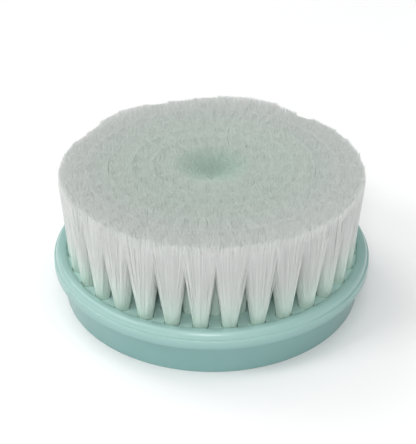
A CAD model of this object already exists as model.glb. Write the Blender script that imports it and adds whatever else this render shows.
"""The looks of a facial cleansing brush head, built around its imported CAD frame.

Blender works in metres, with +Z up and the front at -Y. The dimensions below are in millimetres.
"""

import math
from collections import namedtuple

import bpy
import numpy as np
from mathutils import Matrix, Vector


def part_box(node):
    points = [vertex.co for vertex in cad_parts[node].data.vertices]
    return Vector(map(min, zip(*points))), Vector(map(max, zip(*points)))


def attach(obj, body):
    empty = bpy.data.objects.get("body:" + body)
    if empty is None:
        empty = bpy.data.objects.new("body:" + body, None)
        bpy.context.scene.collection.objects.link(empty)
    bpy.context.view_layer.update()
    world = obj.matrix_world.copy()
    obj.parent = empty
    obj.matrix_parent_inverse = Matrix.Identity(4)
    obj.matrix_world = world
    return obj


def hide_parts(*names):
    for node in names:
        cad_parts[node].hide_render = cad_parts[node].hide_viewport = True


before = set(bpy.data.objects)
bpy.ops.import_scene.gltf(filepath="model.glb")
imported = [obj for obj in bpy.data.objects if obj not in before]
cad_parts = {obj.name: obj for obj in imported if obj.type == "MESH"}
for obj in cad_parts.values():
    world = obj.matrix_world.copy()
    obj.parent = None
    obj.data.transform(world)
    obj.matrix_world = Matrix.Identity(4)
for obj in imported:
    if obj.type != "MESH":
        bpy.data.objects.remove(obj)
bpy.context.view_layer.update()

MM = 0.001
RANDOM = np.random.default_rng(seed=11)

# ---- Driving dimensions, in millimetres ---------------------------------------------------------------

RIM_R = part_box("head_housing")[1][0] / MM
TIP_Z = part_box("second_tuft_ring")[1][2] / MM
DISC_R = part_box("inner_disc")[1][0] / MM

# Housing and disc
SKIRT_R = 23.45
SKIRT_IN_R = 22.0
SKIRT_EDGE = 0.25
RIM_LOW = 5.34
RIM_FILLET = 0.3
RIM_EDGE = (0.22, 0.2)  # inwards and upwards
RIM_CREASE = 6.74
CREASE = ((-0.05, -0.12), (-0.06, 0.0), (-0.2, 0.04))  # a curve, measured from the rim at the crease
CROWN_FOOT = (-0.3, 0.06)  # measured in the same way
CROWN_FULLNESS = 0.45
RIM_CREST = 7.85
RIM_CREST_R = 23.95
LIP_R = 23.0
LIP_Z = 7.62
LIP_FULLNESS = 0.3
LIP_FOOT = ((-0.03, 0.08), (-0.04, 0.0), (-0.1, 0.0))  # a curve, measured from the lip at the face
FLOOR_Z = 7.1
BLOCK_LOW = 3.0
BORE_R = 16.1
SNAP_GROOVE = (22.5, 1.45, 2.15)
GROOVE_SLOPE = 0.1
EDGE = 0.2
DISC_LOW = 3.4

# Underside parts
GAP = 0.3
RUN = 0.15
HUB_LOW = 0.2
HUB_R = 5.6
HUB_EDGE = (0.25, 0.2)
HUB_SHOULDER = 3.3
PLUG_R = 5.3
PLUG_HIGH = 5.5
SOCKET_R = 3.3
SOCKET_FLAT = 2.7
SOCKET_HIGH = 4.8
GROOVE_LOW = 0.42
GROOVE_HIGH = 0.98
GROOVE_R = 4.85
PLATE_LOW = 1.2
PLATE_HIGH = 2.4
PLATE_R = SKIRT_IN_R - GAP
PLATE_BORE = 7.2
PLATE_CHAMFER = 0.1
BEAD_R = 22.2
BEAD = (1.65, 1.95)
BEAD_FULLNESS = 0.1
DOG_COUNT = 6
DOG = {"in": 14.2, "out": 20.4, "wide": 1.8, "low": 0.3, "high": PLATE_LOW + 0.1, "edge": 0.25}
DRAIN_R = 1.2
DRAIN_RING_R = 16.8
FLANGE_LOW = 2.5
FLANGE_HIGH = 2.9
FLANGE_R = 8.4
BUSH_EDGE = 0.12
WASHER_LOW = 3.0
WASHER_HIGH = 3.25
WASHER_EDGE = 0.06
CLIP = {"in": 5.0, "out": 7.2, "low": 0.5, "high": 0.9, "gap": 1.3, "edge": 0.07}
PEG_R = 0.8
PEG_RING_R = 11.6
PEG_LOW = 1.4
SLOT_HALF_WIDTH = PEG_R + GAP
SLOT_HALF_ANGLE = math.radians(8) + GAP / PEG_RING_R
ANCHOR_WIDE = 2.0
ANCHOR_THICK = 0.4
ANCHOR_LIFT = (0.05, 0.95)  # above the floor of the hole

# Tufts
HOLE_R = 1.16
HOLE_EDGE = 0.06
HOLE_LOW = 4.1
FOOT_Z = HOLE_LOW + 0.35
FIRST_ANGLE = 0.022
TUFT_ROOT_R = 1.03
TUFT_LEAN = 0.06
FILAMENT_R = 0.038
FILAMENT_TAPER = 0.5
FILAMENT_BOW = 0.06
LONG_FILAMENTS = 360
LONG_REACH = 0.78  # the square of the share of the tuft's radius at which they begin
LONG_LEVELS = (FOOT_Z, FLOOR_Z, 11.5, TIP_Z - 1.2)
TIPS_PER_MM2 = 64
TIP_LEVELS = (TIP_Z - 1.6,)
TIP_TURN = math.pi * (3 - math.sqrt(5))
TIP_START = 6.0
TIP_SQUARENESS = 0.85
TIP_OVERLAP = (1.12, 1.3)  # outwards and along the ring
TIP_SCATTER = 0.13
TIP_JITTER = 0.03
TRIM = 0.05
CORE_SIDES = 24
CORE_SHARE = 0.87
CORE_Z = TIP_Z - 0.9
CORE_SHOULDER = CORE_Z - 0.5
# The core of a tuft at each height: its share of the tuft, and how much wider it is along the ring
CORE_LEVELS = (
    (FOOT_Z, 1.0, 1.0),
    (FLOOR_Z, 1.0, 1.0),
    (10.0, 1.0, 1.0),
    (13.0, 1.0, 1.0),
    (17.0, 1.06, 1.1),
    (CORE_SHOULDER, 1.08, 1.2),
    (CORE_Z, 1.0, 1.2),
    (CORE_Z, 0.6, 1.2),
    (CORE_Z, 0.25, 1.2),
)
# The tips on each body keep off those on the other: half of the clearance, and the share of an overrun by
# which they turn back. Those on the disc keep off the axis too, and those on the housing have no outer limit.
SEAM = 0.055
FOLD_BACK = 0.7
AXIS_CLEAR = 0.15
FAR = 99.0
# The trimmed top rounds off at its outer edge, and falls away round the hollow in the middle
SHOULDER_FALL = 0.45
HOLLOW_R = 5.8
HOLLOW_FALL = 2.9
HOLLOW_IN = 2.9
# Places where use has spread or pinched the outer tips: degrees from the front, spread, millimetres
SWELLS = ((-142, 10, 1.3), (166, 16, 2.1), (141, 6, -1.2), (-119, 7, -0.7))
# Each ring of tufts: radius is that of its holes, and its tips spread from tip_in to tip_out
Ring = namedtuple("Ring", "body count radius tip_in tip_out stagger")
RINGS = {
    "outer": Ring("housing", 33, 21.6, 18.9, 22.9, 0.5),
    "second": Ring("housing", 33, 18.2, 15.85, 19.2, 0.0),
    "third": Ring("rotor", 26, 13.9, 12.35, 15.65, 0.0),
    "fourth": Ring("rotor", 20, 10.55, 9.2, 12.5, 0.5),
    "inner": Ring("rotor", 14, 7.3, 0.8, 10.1, 0.0),
}

# Modelling
TURNED_STEPS = 288
COLUMN_SIDES = 28
SHARP_ANGLE = math.radians(35)
CUT_PAST = 1.0  # how far a cutter runs past the face that it cuts
JOIN_IN = 0.5  # how far a joined shape runs into the other

# ---- Materials ----------------------------------------------------------------------------------------

# Sockets of a node that mixes colours
MIX_FACTOR = 0
MIX_FIRST = 6
MIX_SECOND = 7
MIX_RESULT = 2

ALONG_FILAMENT = (1, 1, 0.02)
# Where the mint changes colour: heights on the rim, and distances from the axis at the lip
RIM_BAND = (RIM_LOW - 0.4, RIM_CREASE + 0.3)
LIP_BAND = (LIP_R - 0.2, LIP_R + 0.2)
# Where the nylon changes colour: distances from the axis, and heights above the roots
HOLLOW_BAND = (3.0, 6.5)
EDGE_BAND = (12.0, 21.5)
ROOT_BAND = (FLOOR_Z, 13.5)


def new_material(name):
    material = bpy.data.materials.new(name)
    material.use_nodes = True
    return material, material.node_tree, material.node_tree.nodes["Principled BSDF"]


def add_node(tree, kind, settings=(), links=()):
    """Adds a node. settings are (input name, value) pairs and links are (input name, output socket) pairs."""
    node = tree.nodes.new(kind)
    for name, value in settings:
        node.inputs[name].default_value = value
    for name, output in links:
        tree.links.new(output, node.inputs[name])
    return node


def object_point(tree, stretch=(1, 1, 1)):
    place = tree.nodes.new("ShaderNodeTexCoord").outputs["Object"]
    return add_node(tree, "ShaderNodeMapping", [("Scale", stretch)], [("Vector", place)]).outputs["Vector"]


def noise(tree, scale, detail, stretch=(1, 1, 1)):
    settings = [("Scale", scale), ("Detail", detail)]
    links = [("Vector", object_point(tree, stretch))]
    return add_node(tree, "ShaderNodeTexNoise", settings, links).outputs["Fac"]


def between(tree, value, low, high, start=0.0, end=1.0):
    """Goes from low to high as value goes from start to end."""
    settings = [("From Min", start), ("From Max", end), ("To Min", low), ("To Max", high)]
    return add_node(tree, "ShaderNodeMapRange", settings, [("Value", value)]).outputs["Result"]


def ramp(tree, value, band):
    """Goes from 0 to 1 across a band in millimetres."""
    start, end = band
    return between(tree, value, 0.0, 1.0, start * MM, end * MM)


def mixed(tree, factor, first, second):
    """Mixes two colours, each a tuple or a socket."""
    node = tree.nodes.new("ShaderNodeMix")
    node.data_type = "RGBA"
    for index, value in ((MIX_FACTOR, factor), (MIX_FIRST, first), (MIX_SECOND, second)):
        if isinstance(value, tuple):
            node.inputs[index].default_value = (*value, 1.0)
        else:
            tree.links.new(value, node.inputs[index])
    return node.outputs[MIX_RESULT]


def mottled(tree, dark, light):
    """The faint flow mottle of moulded plastic."""
    return mixed(tree, noise(tree, scale=160, detail=3), dark, light)


def bumped(tree, shader, height, distance):
    settings = [("Strength", 0.5), ("Distance", distance * MM)]
    bump = add_node(tree, "ShaderNodeBump", settings, [("Height", height)])
    tree.links.new(bump.outputs["Normal"], shader.inputs["Normal"])


def height_above_base(tree):
    return add_node(tree, "ShaderNodeSeparateXYZ", (), [("Vector", object_point(tree))]).outputs["Z"]


def distance_from_axis(tree):
    flat = tree.nodes.new("ShaderNodeVectorMath")
    flat.operation = "LENGTH"
    tree.links.new(object_point(tree, (1, 1, 0)), flat.inputs[0])
    return flat.outputs["Value"]


def facing_up(tree):
    normal = tree.nodes.new("ShaderNodeTexCoord").outputs["Normal"]
    return add_node(tree, "ShaderNodeSeparateXYZ", (), [("Vector", normal)]).outputs["Z"]


def moulded_plastic(name, light, dark, roughness, bump=0.004):
    """Moulded plastic: faint mottle in its colour and roughness, and a very fine surface texture."""
    material, tree, shader = new_material(name)
    tree.links.new(mottled(tree, dark, light), shader.inputs["Base Color"])
    sheen = between(tree, noise(tree, scale=420, detail=4), roughness - 0.05, roughness + 0.07)
    tree.links.new(sheen, shader.inputs["Roughness"])
    bumped(tree, shader, noise(tree, scale=2600, detail=2), bump)
    return material


def mint_plastic():
    """Satin mint plastic, deeper on the skirt than on the rim and lightest on the face of the block."""
    plastic = moulded_plastic("mint_plastic", (0.340, 0.535, 0.500), (0.315, 0.510, 0.476), 0.34)
    tree = plastic.node_tree
    shader = tree.nodes["Principled BSDF"]
    rim_colour = shader.inputs["Base Color"].links[0].from_socket
    skirt_colour = mottled(tree, (0.195, 0.370, 0.352), (0.210, 0.388, 0.372))
    face_colour = mottled(tree, (0.500, 0.730, 0.675), (0.520, 0.750, 0.695))
    upper_colour = mixed(tree, ramp(tree, distance_from_axis(tree), LIP_BAND), face_colour, rim_colour)
    colour = mixed(tree, ramp(tree, height_above_base(tree), RIM_BAND), skirt_colour, upper_colour)
    tree.links.new(colour, shader.inputs["Base Color"])
    shader.inputs["Coat Weight"].default_value = 0.4
    shader.inputs["Coat Roughness"].default_value = 0.2
    return plastic


def turned_steel():
    material, tree, shader = new_material("steel")
    marks = noise(tree, scale=900, detail=2, stretch=(1, 1, 12))
    shader.inputs["Metallic"].default_value = 1.0
    tree.links.new(mixed(tree, marks, (0.50, 0.51, 0.52), (0.62, 0.63, 0.64)), shader.inputs["Base Color"])
    tree.links.new(between(tree, marks, 0.25, 0.42), shader.inputs["Roughness"])
    return material


def nylon_colour(tree):
    """White, greyer and greener towards the hollow in the middle, and mint near the roots."""
    streak = noise(tree, scale=2200, detail=1, stretch=ALONG_FILAMENT)
    tinted = mixed(tree, streak, (0.890, 0.975, 0.935), (0.910, 0.980, 0.950))
    hollow = mixed(tree, streak, (0.835, 0.900, 0.868), (0.860, 0.915, 0.885))
    middle = mixed(tree, streak, (0.890, 0.922, 0.900), (0.905, 0.932, 0.912))
    pale = mixed(tree, streak, (0.915, 0.925, 0.917), (0.932, 0.938, 0.932))
    away = distance_from_axis(tree)
    inner = mixed(tree, ramp(tree, away, HOLLOW_BAND), hollow, middle)
    upper = mixed(tree, ramp(tree, away, EDGE_BAND), inner, pale)
    sides = mixed(tree, ramp(tree, height_above_base(tree), ROOT_BAND), tinted, upper)
    # Packed ends that face up are darker than the sides of filaments, for the deep gaps between them.
    speckle = noise(tree, scale=6000, detail=2, stretch=ALONG_FILAMENT)
    gaps = between(tree, speckle, 0.0, 1.0, start=0.35, end=0.65)
    ends = mixed(tree, gaps, (0.640, 0.720, 0.680), (0.860, 0.915, 0.880))
    return mixed(tree, between(tree, facing_up(tree), 0.0, 0.85, start=0.8, end=0.97), sides, ends)


def nylon_filament():
    """Translucent nylon: part of the light goes through."""
    material, tree, shader = new_material("nylon_filament")
    colour = nylon_colour(tree)
    tree.links.new(colour, shader.inputs["Base Color"])
    shader.inputs["Roughness"].default_value = 0.5
    shader.inputs["Specular IOR Level"].default_value = 0.25
    through = add_node(tree, "ShaderNodeBsdfTranslucent", (), [("Color", colour)])
    blend = add_node(tree, "ShaderNodeMixShader", [("Fac", 0.55)])
    tree.links.new(shader.outputs[0], blend.inputs[1])
    tree.links.new(through.outputs[0], blend.inputs[2])
    tree.links.new(blend.outputs[0], tree.nodes["Material Output"].inputs["Surface"])
    return material


def floor_paper():
    material, tree, shader = new_material("floor_paper")
    shade = mixed(tree, noise(tree, scale=40, detail=2), (0.93, 0.93, 0.93), (0.95, 0.95, 0.95))
    tree.links.new(shade, shader.inputs["Base Color"])
    shader.inputs["Roughness"].default_value = 0.9
    return material


MINT = mint_plastic()
NYLON = nylon_filament()
STEEL = turned_steel()
ACETAL = moulded_plastic("acetal", (0.80, 0.82, 0.79), (0.76, 0.78, 0.75), 0.42)
GREY = moulded_plastic("grey_plastic", (0.29, 0.34, 0.32), (0.26, 0.31, 0.29), 0.5, bump=0.01)

# ---- Mesh helpers -------------------------------------------------------------------------------------


def placed(name, data):
    """A new object in the scene, from its mesh, camera or light."""
    thing = bpy.data.objects.new(name, data)
    bpy.context.scene.collection.objects.link(thing)
    return thing


def smoothed(mesh):
    mesh.shade_smooth()
    mesh.set_sharp_from_angle(angle=SHARP_ANGLE)


def new_piece(name, points, faces, material):
    """An object from points in millimetres and faces, smooth except across sharp edges."""
    mesh = bpy.data.meshes.new(name)
    mesh.from_pydata(np.asarray(points, float) * MM, [], faces)
    mesh.validate()
    smoothed(mesh)
    if material:
        mesh.materials.append(material)
    return placed(name, mesh)


def combined(piece, other, operation):
    """Cuts other from piece, or joins it, and removes other."""
    modifier = piece.modifiers.new("cut", "BOOLEAN")
    modifier.operation = operation
    modifier.solver = "EXACT"
    modifier.object = other
    depsgraph = bpy.context.evaluated_depsgraph_get()
    mesh = bpy.data.meshes.new_from_object(piece.evaluated_get(depsgraph))
    piece.modifiers.clear()
    piece.data = mesh
    smoothed(mesh)
    bpy.data.objects.remove(other)


def finish_piece(piece, body, slot, *nodes):
    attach(piece, body)
    if nodes:
        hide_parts(*nodes)


def outward(angle):
    """The outward direction at an angle from the front, turning towards +X."""
    return np.array([math.sin(angle), -math.cos(angle)])


def directions(angle):
    """The outward direction, and the one along the ring, a quarter turn anticlockwise from it."""
    out = outward(angle)
    return out, np.array([-out[1], out[0]])


def ring_angles(ring):
    return FIRST_ANGLE + (np.arange(ring.count) + ring.stagger) * 2 * math.pi / ring.count


def at(radius, angle, centre=(0, 0)):
    return centre[0] + radius * math.cos(angle), centre[1] + radius * math.sin(angle)


def arc(radius, start, end, centre=(0, 0), steps=12):
    return [at(radius, angle, centre) for angle in np.linspace(start, end, steps + 1)]


def bent_slot(radius, half, start, end, steps=12):
    """The outline of a round-ended slot, half to each side of a circle about the axis."""
    return [
        *arc(radius + half, start, end, steps=steps),
        *arc(half, end, end + math.pi, at(radius, end))[1:-1],
        *arc(radius - half, end, start, steps=steps),
        *arc(half, start + math.pi, start + 2 * math.pi, at(radius, start))[1:-1],
    ]


def hexagon(radius):
    return [radius * outward(i * math.pi / 3 + math.pi) for i in range(6)]


def bend(start, control, end, steps=8):
    """Points from start to end on a quadratic curve in the profile."""
    t = np.linspace(0, 1, steps + 1)[1:, None]
    first, middle, last = (np.array(p, float) for p in (start, control, end))
    return [start, *(tuple(p) for p in (1 - t) ** 2 * first + 2 * t * (1 - t) * middle + t**2 * last)]


def turned(name, profile, material):
    """Turns a closed profile of (radius, z), anticlockwise, about Z. Points on the axis are shared."""
    points, rows = [], []
    angles = 2 * math.pi * np.arange(TURNED_STEPS) / TURNED_STEPS
    for radius, z in profile:
        if radius == 0:
            rows.append([len(points)] * TURNED_STEPS)
            points.append((0, 0, z))
        else:
            rows.append(list(range(len(points), len(points) + TURNED_STEPS)))
            points += [(*at(radius, angle), z) for angle in angles]
    faces = []
    for below, above in zip(rows, rows[1:] + rows[:1]):
        for i in range(TURNED_STEPS):
            k = (i + 1) % TURNED_STEPS
            corners = list(dict.fromkeys((below[i], below[k], above[k], above[i])))
            if len(corners) > 2:
                faces.append(corners)
    return new_piece(name, points, faces, material)


def stacked(levels, n, start=0):
    """The faces that close a stack of levels, lowest first, of n points each, numbered from start."""
    faces = [[start + i for i in range(n)][::-1]]
    for level in range(levels - 1):
        for i in range(n):
            a, b = start + level * n + i, start + level * n + (i + 1) % n
            faces.append((a, b, b + n, a + n))
    faces.append([start + (levels - 1) * n + i for i in range(n)])
    return faces


def prism(name, outline, low, high):
    """An upright piece from an anticlockwise outline of (x, y)."""
    points = [(x, y, z) for z in (low, high) for x, y in outline]
    return new_piece(name, points, stacked(2, len(outline)), None)


def columns(name, places, radius, low, high, flare=0.0):
    """Separate round columns. With flare, each is that much wider above the face the tufts stand in."""
    levels = [(0, low), (0, high)]
    if flare:
        levels = [(0, low), (0, FLOOR_Z - flare), (flare, FLOOR_Z), (flare, high)]
    points, faces = [], []
    angles = 2 * math.pi * np.arange(COLUMN_SIDES) / COLUMN_SIDES
    for place in places:
        faces += stacked(len(levels), COLUMN_SIDES, start=len(points))
        for grown, z in levels:
            points += [(*at(radius + grown, angle, place), z) for angle in angles]
    return new_piece(name, points, faces, None)


# ---- Housing and inner disc ---------------------------------------------------------------------------


def hole_cutter(*names):
    places = [RINGS[name].radius * outward(angle) for name in names for angle in ring_angles(RINGS[name])]
    return columns("hole_cutter", places, HOLE_R, HOLE_LOW, FLOOR_Z + CUT_PAST, flare=HOLE_EDGE)


def housing_profile():
    edge_in, edge_up = RIM_EDGE
    crease = [(RIM_R + x, RIM_CREASE + z) for x, z in CREASE]
    crown = (RIM_R + CROWN_FOOT[0], RIM_CREASE + CROWN_FOOT[1])
    crest = (RIM_CREST_R, RIM_CREST)
    lip_foot = [(LIP_R + x, FLOOR_Z + z) for x, z in LIP_FOOT]
    groove_r, groove_low, groove_high = SNAP_GROOVE
    return [
        (SKIRT_IN_R, 0),
        *bend((SKIRT_R - SKIRT_EDGE, 0), (SKIRT_R, 0), (SKIRT_R, SKIRT_EDGE), 4),
        *bend((SKIRT_R, RIM_LOW - RIM_FILLET), (SKIRT_R, RIM_LOW), (SKIRT_R + RIM_FILLET, RIM_LOW), 5),
        *bend((RIM_R - edge_in, RIM_LOW), (RIM_R, RIM_LOW), (RIM_R, RIM_LOW + edge_up), 5),
        *bend(*crease, 4),
        *bend(crown, (RIM_R - CROWN_FULLNESS, RIM_CREST), crest, 12),
        *bend(crest, (LIP_R + LIP_FULLNESS, RIM_CREST), (LIP_R, LIP_Z))[1:],
        *bend(*lip_foot, 3),
        *bend((BORE_R + EDGE, FLOOR_Z), (BORE_R, FLOOR_Z), (BORE_R, FLOOR_Z - EDGE), 4),
        (BORE_R, BLOCK_LOW),
        (SKIRT_IN_R, BLOCK_LOW),
        (SKIRT_IN_R, groove_high + GROOVE_SLOPE),
        (groove_r, groove_high),
        (groove_r, groove_low),
        (SKIRT_IN_R, groove_low - GROOVE_SLOPE),
    ]


def head_housing():
    housing = turned("housing_moulding", housing_profile(), MINT)
    combined(housing, hole_cutter("outer", "second"), "DIFFERENCE")
    finish_piece(housing, "housing", "mint_plastic", "head_housing")


def swing_pegs():
    """The pegs under the disc that stop its swing."""
    places = [PEG_RING_R * outward(angle) for angle in (0, math.pi)]
    return columns("pegs", places, PEG_R, PEG_LOW, DISC_LOW + JOIN_IN)


def inner_disc():
    profile = [
        (0, DISC_LOW),
        *bend((DISC_R - EDGE, DISC_LOW), (DISC_R, DISC_LOW), (DISC_R, DISC_LOW + EDGE), 4),
        *bend((DISC_R, FLOOR_Z - EDGE), (DISC_R, FLOOR_Z), (DISC_R - EDGE, FLOOR_Z), 4),
        (0, FLOOR_Z),
    ]
    disc = turned("swinging_disc", profile, MINT)
    combined(disc, hole_cutter("third", "fourth", "inner"), "DIFFERENCE")
    keyway = prism("keyway_cutter", hexagon(PLUG_R + GAP), DISC_LOW - CUT_PAST, PLUG_HIGH + GAP)
    combined(disc, keyway, "DIFFERENCE")
    combined(disc, swing_pegs(), "UNION")
    finish_piece(disc, "rotor", "mint_plastic", "inner_disc")


# ---- Tufts --------------------------------------------------------------------------------------------


def swell(angles):
    """How far the outer tips are spread at angles from the front."""
    total = 0.0
    for place, spread, reach in SWELLS:
        away = (np.degrees(angles) - place + 180) % 360 - 180
        total = total + reach * np.exp(-((away / spread) ** 2) / 2)
    return total


def kept_apart(flat, limits, fold=FOLD_BACK):
    """Keeps points between two radii: those past one turn back by a share, fold, of their overrun."""
    low, high = limits
    reached = np.linalg.norm(flat, axis=-1)
    kept = np.where(reached > high, high - fold * (reached - high), reached)
    kept = np.where(kept < low, low + fold * (low - kept), kept)
    return flat * (kept / reached)[..., None]


def risen(heights):
    """How far up the free part of the tufts each height is, from 0 to 1."""
    return np.clip((heights - FLOOR_Z) / (TIP_Z - FLOOR_Z), 0, 1)


def tuft_places(ring, angle, lean, limits, a, b, heights, fold=FOLD_BACK):
    """Where points (a, b) of a tuft's unit disc lie at each height, as an array of point, level and xyz."""
    out, along = directions(angle)
    turn = np.arctan2(b, a)
    reach = np.hypot(a, b)
    # Tips fill the tuft's share of the ring: the disc of roots is stretched towards a box's corners.
    corner = 1 + TIP_SQUARENESS * reach**2 * (1 / np.maximum(abs(np.cos(turn)), abs(np.sin(turn))) - 1)
    shift = (ring.tip_in + ring.tip_out) / 2 - ring.radius + lean[0]
    spread = swell(angle + b * math.pi / ring.count) * (0.5 + 0.5 * a) if ring is RINGS["outer"] else 0
    tip_a = shift + a * corner * TIP_OVERLAP[0] * (ring.tip_out - ring.tip_in) / 2 + spread
    sector = b * corner * TIP_OVERLAP[1] * math.sin(math.pi / ring.count)
    tip_b = (ring.radius + tip_a) * (lean[1] / ring.radius + sector)
    share = risen(heights)
    pa = a[:, None] * TUFT_ROOT_R * (1 - share) + tip_a[:, None] * share
    pb = b[:, None] * TUFT_ROOT_R * (1 - share) + tip_b[:, None] * share
    flat = kept_apart((ring.radius + pa)[..., None] * out + pb[..., None] * along, limits, fold)
    return np.concatenate([flat, heights[..., None]], axis=-1)


def trimmed(ring, a, places):
    """The height of the trimmed tips: rounded off at the outer edge, and falling away round the hollow."""
    shoulder = SHOULDER_FALL * np.clip(a, 0, 1) ** 3 if ring is RINGS["outer"] else 0
    away = np.linalg.norm(places[..., :2], axis=-1)
    return TIP_Z - TRIM - shoulder - HOLLOW_FALL * np.clip(1 - away / HOLLOW_R, 0, 1)


def filaments(ring, angle, lean, limits, turn, reach, lows):
    """Middle lines of filaments that rise through the levels in lows to their trimmed tips."""
    n = len(turn)
    a, b = reach * np.cos(turn), reach * np.sin(turn)
    levels = np.array([*lows, TIP_Z])
    paths = tuft_places(ring, angle, lean, limits, a, b, np.tile(levels, (n, 1)))
    share = risen(levels)[:, None]
    paths[..., :2] += RANDOM.normal(0, FILAMENT_BOW, (n, 1, 2)) * np.sin(math.pi * share)
    paths[..., :2] += RANDOM.normal(0, TIP_SCATTER, (n, 1, 2)) * share
    paths[..., :2] = kept_apart(paths[..., :2], limits)
    top = trimmed(ring, a, paths[:, -1]) + RANDOM.normal(0, TIP_JITTER, n)
    paths[:, -1, 2] = np.minimum(top, TIP_Z)
    paths[:, -2, 2] += paths[:, -1, 2] - TIP_Z
    return paths


def filament_mesh(paths):
    """Points, quads and triangles of three-sided filaments, each with a closed foot and a narrow tip."""
    n, levels, _ = paths.shape
    turn = RANDOM.uniform(0, 2 * math.pi, n)[:, None] + 2 * math.pi * np.arange(3) / 3
    section = np.stack([np.cos(turn), np.sin(turn), np.zeros_like(turn)], axis=-1)
    thickness = np.full(levels, FILAMENT_R)
    thickness[-1] *= FILAMENT_TAPER
    points = paths[:, :, None, :] + thickness[None, :, None, None] * section[:, None, :, :]
    first = (np.arange(n) * levels * 3)[:, None, None]
    row = (np.arange(levels - 1) * 3)[None, :, None]
    side = np.arange(3)[None, None, :]
    a, b = first + row + side, first + row + (side + 1) % 3
    quads = np.stack([a, b, b + 3, a + 3], axis=-1).reshape(-1, 4)
    foot = first[:, 0] + np.array([2, 1, 0])
    tip = first[:, 0] + (levels - 1) * 3 + np.array([0, 1, 2])
    return points.reshape(-1, 3), quads, np.concatenate([foot, tip])


def core_points(ring, angle, lean, limits):
    """Points of the dense middle of a tuft, where filaments lie too close to tell apart, level by level."""
    limits = (max(limits[0], HOLLOW_IN), limits[1])
    turn = 2 * math.pi * (np.arange(CORE_SIDES) + 0.5) / CORE_SIDES
    rows = []
    for level, share, width in CORE_LEVELS:
        a, b = CORE_SHARE * share * np.cos(turn), CORE_SHARE * share * width * np.sin(turn)
        heights = np.full((CORE_SIDES, 1), level)
        row = tuft_places(ring, angle, lean, limits, a, b, heights, fold=0)[:, 0]
        if level >= CORE_SHOULDER:
            row[:, 2] += trimmed(ring, a, row) - TIP_Z
        rows.append(row)
    return np.concatenate(rows)


def quick_piece(name, points, faces):
    """An object of nylon from many faces, without the slow checks of new_piece."""
    mesh = bpy.data.meshes.new(name)
    corners = np.concatenate(faces).astype(np.int32)
    sizes = np.array([len(face) for face in faces])
    mesh.vertices.add(len(points))
    mesh.vertices.foreach_set("co", (points * MM).astype(np.float32).ravel())
    mesh.loops.add(len(corners))
    mesh.loops.foreach_set("vertex_index", corners)
    mesh.polygons.add(len(sizes))
    mesh.polygons.foreach_set("loop_start", np.concatenate([[0], np.cumsum(sizes)[:-1]]).astype(np.int32))
    mesh.update(calc_edges=True)
    mesh.materials.append(NYLON)
    return placed(name, mesh)


def tuft(name, ring, angle, limits):
    """One tuft: long filaments round a dense core, and short ones over its top, so that all the tips show."""
    where = (ring, angle, RANDOM.normal(0, TUFT_LEAN, 2), limits)
    turn = 2 * math.pi * (np.arange(LONG_FILAMENTS) + RANDOM.uniform(0, 1, LONG_FILAMENTS)) / LONG_FILAMENTS
    reach = np.sqrt(RANDOM.uniform(LONG_REACH, 1.0, LONG_FILAMENTS))
    long = filaments(*where, turn, reach, LONG_LEVELS)
    tips = round(TIPS_PER_MM2 * math.pi * (ring.tip_out**2 - ring.tip_in**2) / ring.count)
    k = np.arange(tips) + 0.5
    turn = k * TIP_TURN + RANDOM.uniform(0, TIP_START)
    short = filaments(*where, turn, np.sqrt(k / tips), TIP_LEVELS)
    points = [core_points(*where)]
    core_faces = stacked(len(CORE_LEVELS), CORE_SIDES)
    quads, triangles = [], []
    for part_points, part_quads, part_triangles in (filament_mesh(long), filament_mesh(short)):
        start = sum(len(part) for part in points)
        points.append(part_points)
        quads.append(part_quads + start)
        triangles.append(part_triangles + start)
    faces = [*core_faces, *np.concatenate(quads), *np.concatenate(triangles)]
    piece = quick_piece(name, np.concatenate(points), faces)
    smooth = np.zeros(len(faces), bool)
    smooth[1:len(core_faces) - 1] = True
    piece.data.polygons.foreach_set("use_smooth", smooth)
    return piece


def tufts():
    seam = (RINGS["second"].tip_in + RINGS["third"].tip_out) / 2
    limits = {"housing": (seam + SEAM, FAR), "rotor": (AXIS_CLEAR, seam - SEAM)}
    for name, ring in RINGS.items():
        for i, angle in enumerate(ring_angles(ring)):
            piece = tuft(f"tuft_{name}_{i + 1}", ring, angle, limits[ring.body])
            node = f"outer_tuft_{i + 1}" if name == "outer" else f"{name}_tuft_ring"
            finish_piece(piece, ring.body, "nylon_filament", node)


def tuft_anchors(name, body, rings):
    """The flat wire anchors that hold the folded feet of the tufts in their holes."""
    points, faces = [], []
    for ring in rings:
        for angle in ring_angles(RINGS[ring]):
            out, along = directions(angle)
            place = RINGS[ring].radius * out
            faces += stacked(len(ANCHOR_LIFT), 4, start=len(points))
            for lift in ANCHOR_LIFT:
                for across, side in ((1, -1), (-1, -1), (-1, 1), (1, 1)):
                    x, y = place + across * ANCHOR_WIDE / 2 * along + side * ANCHOR_THICK / 2 * out
                    points.append((x, y, HOLE_LOW + lift))
    finish_piece(new_piece(name, points, faces, STEEL), body, "steel")


# ---- Underside parts ----------------------------------------------------------------------------------


def face_dog(index):
    """One rib that stops the plate from turning on the handle, with rounded lower edges."""
    out, along = directions((index + 0.5) * 2 * math.pi / DOG_COUNT)
    low, edge, bevel = DOG["low"], DOG["edge"], 0.3 * DOG["edge"]
    levels = ((low, edge), (low + bevel, bevel), (low + edge, 0), (DOG["high"], 0))
    points = []
    for z, inset in levels:
        inner, outer, half = DOG["in"] + inset, DOG["out"] - inset, DOG["wide"] / 2 - inset
        for reach, side in ((inner, -half), (outer, -half), (outer, half), (inner, half)):
            x, y = reach * out + side * along
            points.append((x, y, z))
    return new_piece("dog", points, stacked(len(levels), 4), None)


def arc_slot(middle):
    outline = bent_slot(PEG_RING_R, SLOT_HALF_WIDTH, middle - SLOT_HALF_ANGLE, middle + SLOT_HALF_ANGLE)
    return prism("slot_cutter", outline, PLATE_LOW - CUT_PAST, PLATE_HIGH + CUT_PAST)


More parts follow.
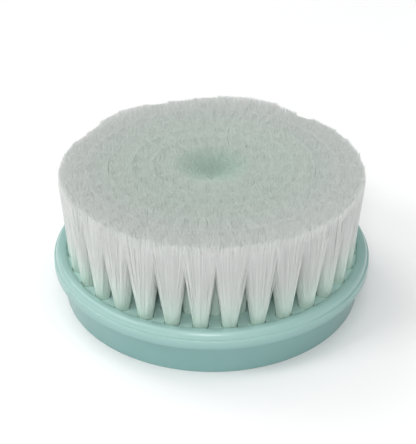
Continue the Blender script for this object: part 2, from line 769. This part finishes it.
def back_plate():
    bead_low, bead_high = BEAD
    bead = (BEAD_R + BEAD_FULLNESS, (bead_low + bead_high) / 2)
    profile = [
        (PLATE_BORE, PLATE_LOW + PLATE_CHAMFER),
        (PLATE_BORE + PLATE_CHAMFER, PLATE_LOW),
        *bend((PLATE_R - EDGE, PLATE_LOW), (PLATE_R, PLATE_LOW), (PLATE_R, PLATE_LOW + EDGE), 4),
        *bend((PLATE_R, bead_low), bead, (PLATE_R, bead_high)),
        (PLATE_R, PLATE_HIGH),
        (PLATE_BORE, PLATE_HIGH),
    ]
    plate = turned("back_plate_moulding", profile, GREY)
    for index in range(DOG_COUNT):
        combined(plate, face_dog(index), "UNION")
    drains = [DRAIN_RING_R * outward(i * 2 * math.pi / DOG_COUNT) for i in range(DOG_COUNT)]
    combined(plate, columns("drain_cutter", drains, DRAIN_R, 0, BLOCK_LOW), "DIFFERENCE")
    for middle in (-math.pi / 2, math.pi / 2):
        combined(plate, arc_slot(middle), "DIFFERENCE")
    finish_piece(plate, "housing", "grey_plastic", "back_plate")


def drive_hub():
    edge_in, edge_up = HUB_EDGE
    profile = [
        (0, HUB_LOW),
        *bend((HUB_R - edge_in, HUB_LOW), (HUB_R, HUB_LOW), (HUB_R, HUB_LOW + edge_up), 4),
        (HUB_R, GROOVE_LOW),
        (GROOVE_R, GROOVE_LOW),
        (GROOVE_R, GROOVE_HIGH),
        (HUB_R, GROOVE_HIGH),
        (HUB_R, HUB_SHOULDER),
        (0, HUB_SHOULDER),
    ]
    hub = turned("hub", profile, ACETAL)
    combined(hub, prism("plug", hexagon(PLUG_R), HUB_SHOULDER - JOIN_IN, PLUG_HIGH), "UNION")
    half = math.acos(SOCKET_FLAT / SOCKET_R)
    outline = arc(SOCKET_R, math.pi / 2 + half, 5 * math.pi / 2 - half, steps=72)
    combined(hub, prism("socket_cutter", outline, HUB_LOW - CUT_PAST, SOCKET_HIGH), "DIFFERENCE")
    finish_piece(hub, "rotor", "acetal", "drive_hub")


def hub_bush():
    inner, outer, lead = HUB_R + RUN, PLATE_BORE - GAP, BUSH_EDGE
    profile = [
        (inner, PLATE_LOW + lead),
        (inner + lead, PLATE_LOW),
        (outer - lead, PLATE_LOW),
        (outer, PLATE_LOW + lead),
        (outer, FLANGE_LOW),
        (FLANGE_R - lead, FLANGE_LOW),
        (FLANGE_R, FLANGE_LOW + lead),
        (FLANGE_R, FLANGE_HIGH),
        (inner, FLANGE_HIGH),
    ]
    finish_piece(turned("bush", profile, ACETAL), "housing", "acetal", "hub_bush")


def thrust_washer():
    low, high, inner, soft = WASHER_LOW, WASHER_HIGH, HUB_R + GAP, WASHER_EDGE
    profile = [(inner, low + soft), (inner + soft, low), (FLANGE_R - soft, low), (FLANGE_R, low + soft)]
    profile += [(FLANGE_R, high - soft), (FLANGE_R - soft, high), (inner + soft, high), (inner, high - soft)]
    finish_piece(turned("washer", profile, STEEL), "housing", "steel", "thrust_washer")


def retaining_clip():
    """A split ring with rounded ends and edges."""
    middle, half = (CLIP["in"] + CLIP["out"]) / 2, (CLIP["out"] - CLIP["in"]) / 2
    start = CLIP["gap"] / 2 - math.pi / 2 + half / middle
    end = 3 * math.pi / 2 - CLIP["gap"] / 2 - half / middle
    low, high, soft = CLIP["low"], CLIP["high"], CLIP["edge"]
    levels = ((low, soft), (low + soft, 0), (high - soft, 0), (high, soft))
    rows = [[(x, y, z) for x, y in bent_slot(middle, half - inset, start, end, 96)] for z, inset in levels]
    clip = new_piece("clip", np.concatenate(rows), stacked(len(levels), len(rows[0])), STEEL)
    finish_piece(clip, "rotor", "steel", "retaining_clip")


# ---- Studio -------------------------------------------------------------------------------------------

CAMERA_DISTANCE = 6.5 * RIM_R
CAMERA_ELEVATION = math.radians(31.96)
CAMERA_ROLL = math.radians(0.2)
CAMERA_AIM = (-0.0235 * RIM_R, 0.1875 * RIM_R)  # right and up from the middle of the rim's underside
LENS = 82.0
# In metres and watts
NEAREST = 0.01
PAPER_HALF = 1.5
SKY = (0.98, 0.99, 1.0)
SKY_STRENGTH = 0.22
BOUNCES = 24
# Each light: azimuth from the front turning towards +X, elevation, distance, size, power
LIGHTS = {
    "front": (-4, 32, 1.5, 0.5, 9.2),
    "over": (0, 88, 1.2, 1.4, 7.9),
    "left": (-70, 45, 1.5, 0.5, 5.5),
    "back_left": (-135, 45, 1.5, 0.8, 5.0),
}


def camera():
    forward = Vector((0, math.cos(CAMERA_ELEVATION), -math.sin(CAMERA_ELEVATION)))
    up = Vector((0, math.sin(CAMERA_ELEVATION), math.cos(CAMERA_ELEVATION)))
    right = Vector((1, 0, 0))
    aim = Vector((0, 0, RIM_LOW)) + right * CAMERA_AIM[0] + up * CAMERA_AIM[1]
    data = bpy.data.cameras.new("camera")
    data.lens = LENS
    data.clip_start = NEAREST
    view = placed("camera", data)
    place = Matrix.Translation((aim - forward * CAMERA_DISTANCE) * MM)
    turn = Matrix((right, up, -forward)).transposed().to_4x4()
    view.matrix_world = place @ turn @ Matrix.Rotation(CAMERA_ROLL, 4, "Z")
    bpy.context.scene.camera = view


def area_light(name, azimuth, elevation, distance, size, power):
    """A square soft light that faces the part."""
    azimuth, elevation = math.radians(azimuth), math.radians(elevation)
    toward = Vector((*(outward(azimuth) * math.cos(elevation)), math.sin(elevation)))
    data = bpy.data.lights.new(name, "AREA")
    data.size = size
    data.energy = power
    lamp = placed(name, data)
    lamp.location = toward * distance
    lamp.rotation_euler = toward.to_track_quat("Z", "Y").to_euler()


def studio():
    half = PAPER_HALF / MM
    corners = [(-half, -half, 0), (half, -half, 0), (half, half, 0), (-half, half, 0)]
    floor = new_piece("floor", corners, [(0, 1, 2, 3)], floor_paper())
    world = bpy.data.worlds.new("studio")
    world.use_nodes = True
    sky = world.node_tree.nodes["Background"]
    sky.inputs["Color"].default_value = (*SKY, 1.0)
    sky.inputs["Strength"].default_value = SKY_STRENGTH
    bpy.context.scene.world = world
    for name, placing in LIGHTS.items():
        area_light(name, *placing)
    bpy.context.scene.cycles.diffuse_bounces = BOUNCES
    bpy.context.scene.cycles.transmission_bounces = BOUNCES
    bpy.context.scene.cycles.max_bounces = BOUNCES
    bpy.context.scene.view_settings.view_transform = "Standard"


head_housing()
inner_disc()
tufts()
tuft_anchors("housing_tuft_anchors", "housing", ("outer", "second"))
tuft_anchors("disc_tuft_anchors", "rotor", ("third", "fourth", "inner"))
back_plate()
drive_hub()
hub_bush()
thrust_washer()
retaining_clip()
camera()
studio()
